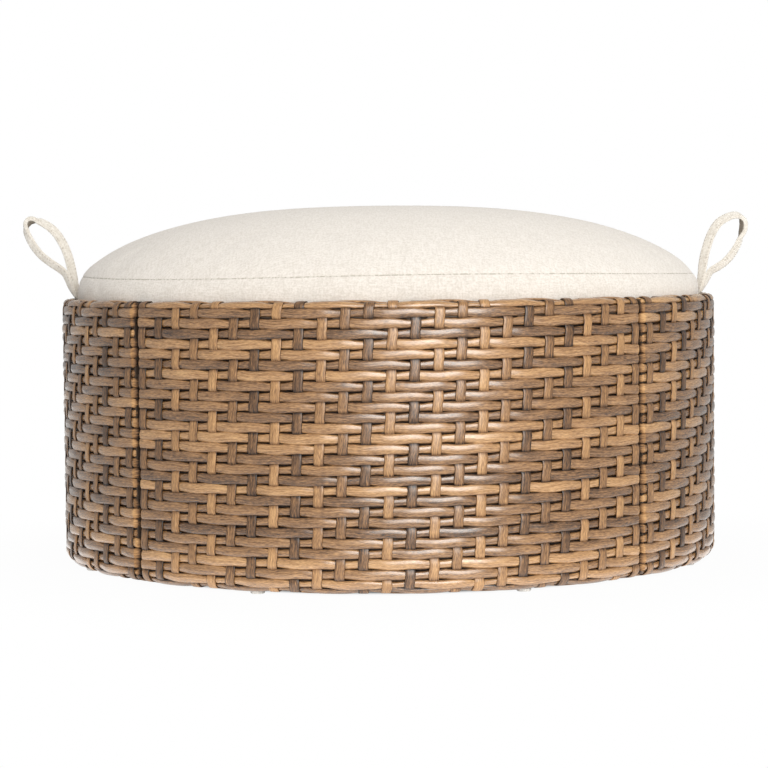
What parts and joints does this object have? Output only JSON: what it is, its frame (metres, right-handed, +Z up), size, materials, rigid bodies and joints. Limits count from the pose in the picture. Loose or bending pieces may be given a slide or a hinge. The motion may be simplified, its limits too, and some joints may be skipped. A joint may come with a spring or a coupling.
{
  "type": "outdoor ottoman",
  "caption": "Round outdoor footstool: a woven resin drum on a tube frame, with a loose crowned cushion recessed in its rim and two fabric lifting loops.",
  "frame": {"origin": "on the floor under the middle of the drum", "axes": "+X towards the right loop, +Y to the back, +Z up; the drum's front, as pictured, faces -Y"},
  "size_m": [0.8972, 0.8, 0.43],
  "materials": {
    "resin_wicker": "satin",
    "frame_metal": "satin",
    "deck_metal": "matte",
    "fastener_metal": "satin",
    "glide_plastic": "matte",
    "cushion_fabric": "matte",
    "loop_fabric": "matte",
    "zip_tape": "matte",
    "foam": "matte"
  },
  "bodies": {
    "drum": {"front_weave": "resin_wicker", "front_top_rail": "frame_metal", "front_bottom_rail": "frame_metal", "front_post_left": "frame_metal", "front_post_right": "frame_metal", "front_post_middle": "frame_metal", "front_deck_bracket": "frame_metal", "front_bolt_lower": "fastener_metal", "front_bolt_upper": "fastener_metal", "front_glide_1": "glide_plastic", "front_glide_2": "glide_plastic", "right_weave": "resin_wicker", "right_top_rail": "frame_metal", "right_bottom_rail": "frame_metal", "right_post_left": "frame_metal", "right_post_right": "frame_metal", "right_post_middle": "frame_metal", "right_deck_bracket": "frame_metal", "right_bolt_lower": "fastener_metal", "right_bolt_upper": "fastener_metal", "right_glide_1": "glide_plastic", "right_glide_2": "glide_plastic", "back_weave": "resin_wicker", "back_top_rail": "frame_metal", "back_bottom_rail": "frame_metal", "back_post_left": "frame_metal", "back_post_right": "frame_metal", "back_post_middle": "frame_metal", "back_deck_bracket": "frame_metal", "back_bolt_lower": "fastener_metal", "back_bolt_upper": "fastener_metal", "back_glide_1": "glide_plastic", "back_glide_2": "glide_plastic", "left_weave": "resin_wicker", "left_top_rail": "frame_metal", "left_bottom_rail": "frame_metal", "left_post_left": "frame_metal", "left_post_right": "frame_metal", "left_post_middle": "frame_metal", "left_deck_bracket": "frame_metal", "left_bolt_lower": "fastener_metal", "left_bolt_upper": "fastener_metal", "left_glide_1": "glide_plastic", "left_glide_2": "glide_plastic", "deck_plate": "deck_metal", "deck_hoop": "frame_metal", "deck_bar_long": "frame_metal", "deck_bar_right": "frame_metal", "deck_bar_left": "frame_metal"},
    "cushion": {"cushion_top_panel": "cushion_fabric", "cushion_band": "cushion_fabric", "cushion_bottom_panel": "cushion_fabric", "cushion_foam_core": "foam", "cushion_zip": "zip_tape", "loop_left_tail": "loop_fabric", "loop_right_tail": "loop_fabric"},
    "zip_slider": {"cushion_zip_slider": "fastener_metal"},
    "loop_left": {"loop_left": "loop_fabric"},
    "loop_right": {"loop_right": "loop_fabric"}
  },
  "joints": [
    {"name": "cushion_lift", "type": "slide", "parent": "drum", "child": "cushion", "axis": [0, 0, 1], "range_m": [0, 0.16]},
    {"name": "loop_left_fold", "type": "hinge", "parent": "cushion", "child": "loop_left", "pos_m": [-0.3844, 0, 0.3209], "axis": [0, -1, 0], "range_deg": [-14, 40], "stiffness_Nm_per_rad": 0.1},
    {"name": "loop_right_fold", "type": "hinge", "parent": "cushion", "child": "loop_right", "pos_m": [0.3844, 0, 0.3209], "axis": [0, 1, 0], "range_deg": [-14, 40], "stiffness_Nm_per_rad": 0.1},
    {"name": "zip_slider_travel", "type": "hinge", "parent": "cushion", "child": "zip_slider", "pos_m": [0, 0, 0.286], "axis": [0, 0, 1], "range_deg": [0, 132]}
  ]
}
